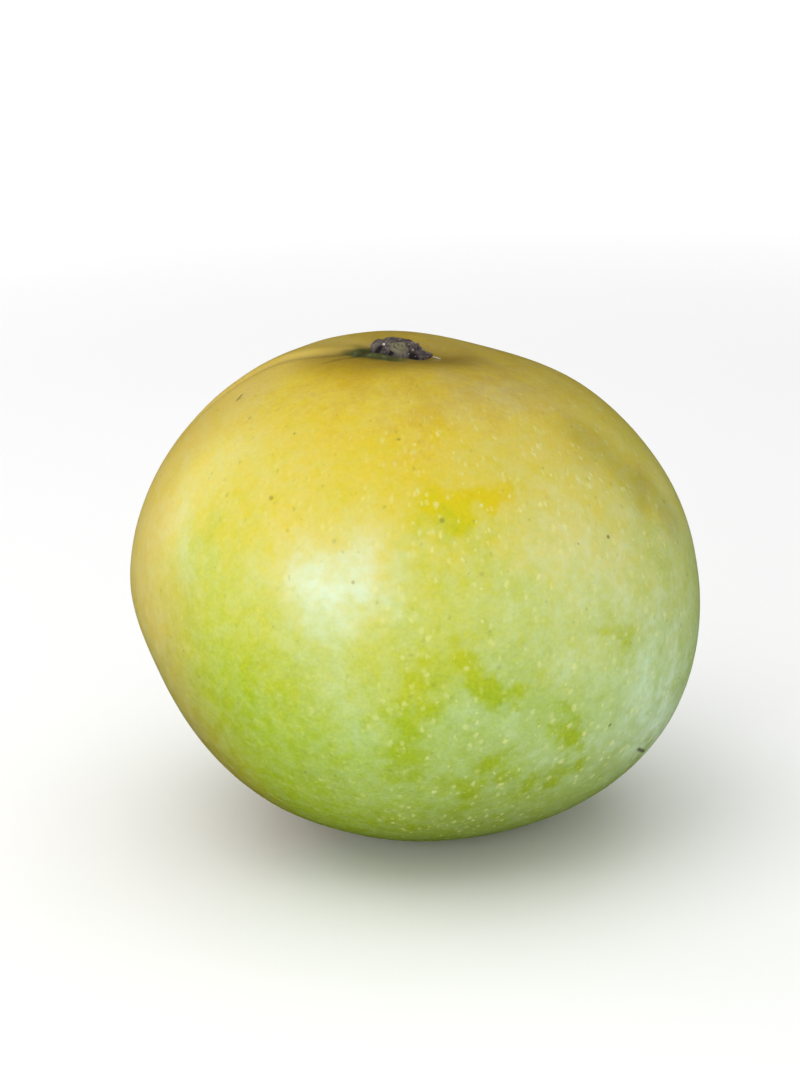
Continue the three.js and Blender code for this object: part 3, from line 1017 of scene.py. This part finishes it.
def skin_material(marks):
    """Pigment under a rubbed veil of bloom that also holds painted highlight and sheen, with pale dots,
    dark pores, specks and marks, painted shade in the furrow, and the brown and green round the stem,
    partly painted shade."""
    material, wiring, shader = new_material("mango_skin")
    place = wiring.place()
    grain = wiring.noise(place, *GRAIN)
    blotch = wiring.spread(wiring.noise(place, *BLOTCH), CRISP, -BLOTCH_SHIFT, BLOTCH_SHIFT)
    ripe = wiring.maths("ADD", wiring.field("ripe"), blotch)
    ripe = wiring.maths("ADD", ripe, wiring.spread(grain, CRISP, -GRAIN_SHIFT, GRAIN_SHIFT))
    veil = bloom_and_sheen_veil(wiring, place, ripe)
    colour = wiring.mix(veil, pigment(wiring, place, ripe), BLOOM_AND_SHEEN)

    bend = wiring.scaled(wiring.noise(place, *DOT_BEND).node.outputs["Color"], DOT_BEND_REACH)
    bent = wiring.vector("ADD", wiring.field("flow", "Vector"), bend)
    small = wiring.flecks(wiring.vector("MULTIPLY", bent, SMALL_DOT_STRETCH), *SMALL_DOTS)
    dots = wiring.maths("MULTIPLY", small, SMALL_DOT_SHARE)
    dots = wiring.maths("MAXIMUM", dots, wiring.flecks(bent, *LARGE_DOTS))
    dots = wiring.maths("MULTIPLY", dots, wiring.field("dots"))
    colour = wiring.coat(dots, DOT_STRENGTH, colour, DOT)
    pores = wiring.flecks(wiring.vector("ADD", bent, PORE_SHIFT), *PORES)
    colour = wiring.coat(pores, PORE_STRENGTH, colour, PORE)
    colour = wiring.coat(wiring.flecks(place, *SPECKS), SPECK_STRENGTH, colour, SPECK)
    for start, end, radius, strength in marks:
        colour = wiring.coat(wiring.mark(place, start, end, radius), strength, colour, NICK)
    # painted shade in the creases of the furrow and the wrinkle, and the olive strokes
    colour = wiring.coat(wiring.field("dark"), CREASE_SHADE_STRENGTH, colour, SHADE_OLIVE)
    # brown round the stem: partly stain, partly painted shade of the hollow
    colour = wiring.coat(wiring.field("brown"), BROWN_AND_SHADE_STRENGTH, colour, BROWN_AND_SHADE)
    # green of the lip round the stem, and painted shade along the front of the furrow
    green = wiring.mix(wiring.ramp(grain, *COLLAR_GREY_GRAIN), COLLAR_GREEN, COLLAR_GREY)
    colour = wiring.coat(wiring.field("collar"), wiring.ramp(grain, *COLLAR_GRAIN), colour, green)

    height = wiring.maths("ADD", wiring.maths("MULTIPLY", dots, DOT_BUMP), grain)
    wiring.tree.links.new(colour, shader.inputs["Base Color"])
    wiring.tree.links.new(wiring.ramp(veil, *SKIN_ROUGHNESS), shader.inputs["Roughness"])
    wiring.tree.links.new(wiring.bump(height, SKIN_BUMP), shader.inputs["Normal"])
    shader.inputs["Specular IOR Level"].default_value = SKIN_SPECULAR
    shader.inputs["Coat Weight"].default_value = SKIN_COAT
    shader.inputs["Coat Roughness"].default_value = SKIN_COAT_ROUGHNESS
    return material


def cork_material():
    """Painted shade, dark in the clefts, then purple-grey and grey-brown on the crags by how far they stand
    out, with an olive patch and whitish flakes."""
    material, wiring, shader = new_material("stem_cork")
    place = wiring.place()
    tone = wiring.noise(place, *CORK_TONE)
    shade = wiring.maths("MULTIPLY", wiring.field("raised"), wiring.spread(tone, SOFT, *CORK_TONE_SHARE))
    colour = wiring.stops(shade, CORK_SHADES)
    colour = wiring.coat(wiring.field("patch"), wiring.ramp(shade, *CORK_PATCH), colour, SCAR)
    pale = wiring.maths("MULTIPLY", wiring.flecks(place, *CORK_FLECKS), CORK_FLECK_STRENGTH)
    colour = wiring.mix(wiring.maths("MAXIMUM", pale, wiring.field("pale")), colour, FLAKE)
    wiring.tree.links.new(colour, shader.inputs["Base Color"])
    wiring.tree.links.new(wiring.bump(tone, CORK_BUMP), shader.inputs["Normal"])
    shader.inputs["Roughness"].default_value = CORK_ROUGHNESS
    return material


def ground_material():
    """Matt and pale, with a glow that grows with the distance, so that it stays white to the horizon."""
    material, wiring, shader = new_material("ground")
    away = wiring.add("ShaderNodeVectorMath", {0: wiring.place()}, "Value", operation="LENGTH")
    glow = wiring.ramp(away, *GROUND_GLOW_SPAN, 0.0, GROUND_GLOW)
    wiring.tree.links.new(glow, shader.inputs["Emission Color"])
    shader.inputs["Emission Strength"].default_value = 1.0
    shader.inputs["Base Color"].default_value = GROUND_TONE
    shader.inputs["Roughness"].default_value = GROUND_ROUGHNESS
    return material


def panel(name, towards, distance, size, energy, glossy, only=None):
    """A rectangular light that faces the fruit, for one object only if that is given."""
    light = bpy.data.lights.new(name, "AREA")
    light.shape = "RECTANGLE"
    light.size, light.size_y = size
    light.energy = energy
    lamp = bpy.data.objects.new(name, light)
    bpy.context.scene.collection.objects.link(lamp)
    lamp.location = TARGET + Vector(towards).normalized() * distance
    lamp.rotation_mode = "QUATERNION"
    lamp.rotation_quaternion = (TARGET - lamp.location).to_track_quat("-Z", "Y")
    lamp.visible_glossy = glossy
    if only:
        receivers = bpy.data.collections.new(name + "_receivers")
        receivers.objects.link(only)
        lamp.light_linking.receiver_collection = receivers


# The skin is centred on the fruit's box in the frame and stands on its floor.
flecks_group()
skin = skin_points()
low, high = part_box("fruit")
corner = skin.reshape(-1, 3).min(axis=0)
far_corner = skin.reshape(-1, 3).max(axis=0)
shift = np.array([low.x + high.x, low.y + high.y, 2 * low.z]) / 2 / MM
shift += np.array([-(corner[0] + far_corner[0]) / 2, -(corner[1] + far_corner[1]) / 2, BODY_HEIGHT])
marks = [(nearest(skin, start) + shift, nearest(skin, end) + shift, *rest) for start, end, *rest in MARKS]

fruit = piece("mango_skin", [(skin + shift, skin_fields(skin))], skin_material(marks))
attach(fruit, "root")
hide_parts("fruit")

# The stub stands on the floor of the hollow, with its chips in the same mesh.
out, _ = stem_polar(skin)
floor_height = skin[..., 2].reshape(-1)[np.argmin(out.reshape(-1))]
stem_foot = shift + np.array([STEM_X, 0, floor_height])
mound, mound_fields = stub_points()
bodies = [(mound + stem_foot, mound_fields)]
for chip, pale in chips(mound):
    same = np.ones(chip.shape[:2])
    chip_fields = {"raised": CHIP_RAISED * same, "patch": 0 * same, "pale": pale * same}
    bodies.append((chip + stem_foot, chip_fields))
stub = piece("stem_cork", bodies, cork_material())
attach(stub, "root")
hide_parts("stem_stub")

# The stage: a white ground, soft daylight from the upper left, and a camera a little above the fruit.
ground_mesh = bpy.data.meshes.new("ground")
near, far = -GROUND_REACH, GROUND_REACH
ground_corners = [(near, near, 0), (far, near, 0), (far, far, 0), (near, far, 0)]
ground_mesh.from_pydata(ground_corners, [], [(0, 1, 2, 3)])
ground_mesh.materials.append(ground_material())
ground = bpy.data.objects.new("ground", ground_mesh)
bpy.context.scene.collection.objects.link(ground)
ground.visible_glossy = False

world = bpy.data.worlds.new("studio")
world.use_nodes = True
world.node_tree.nodes["Background"].inputs["Color"].default_value = (1, 1, 1, 1)
world.node_tree.nodes["Background"].inputs["Strength"].default_value = WORLD_STRENGTH
world.cycles_visibility.glossy = False
bpy.context.scene.world = world
bpy.context.scene.view_settings.view_transform = "Standard"
for name, values in PANELS.items():
    panel(name, *values)
panel("ground_light", *GROUND_PANEL, only=ground)

camera = bpy.data.cameras.new("camera")
camera.lens = CAMERA_LENS
camera.sensor_width = CAMERA_SENSOR
viewer = bpy.data.objects.new("camera", camera)
bpy.context.scene.collection.objects.link(viewer)
back = Vector((0, -math.cos(CAMERA_ELEVATION), math.sin(CAMERA_ELEVATION)))
up = Vector((0, math.sin(CAMERA_ELEVATION), math.cos(CAMERA_ELEVATION)))
viewer.location = TARGET + back * CAMERA_DISTANCE
aim = TARGET + Vector((AIM_ASIDE, 0, 0)) + up * AIM_ABOVE
viewer.rotation_mode = "QUATERNION"
viewer.rotation_quaternion = (aim - viewer.location).to_track_quat("-Z", "Y")
bpy.context.scene.camera = viewer
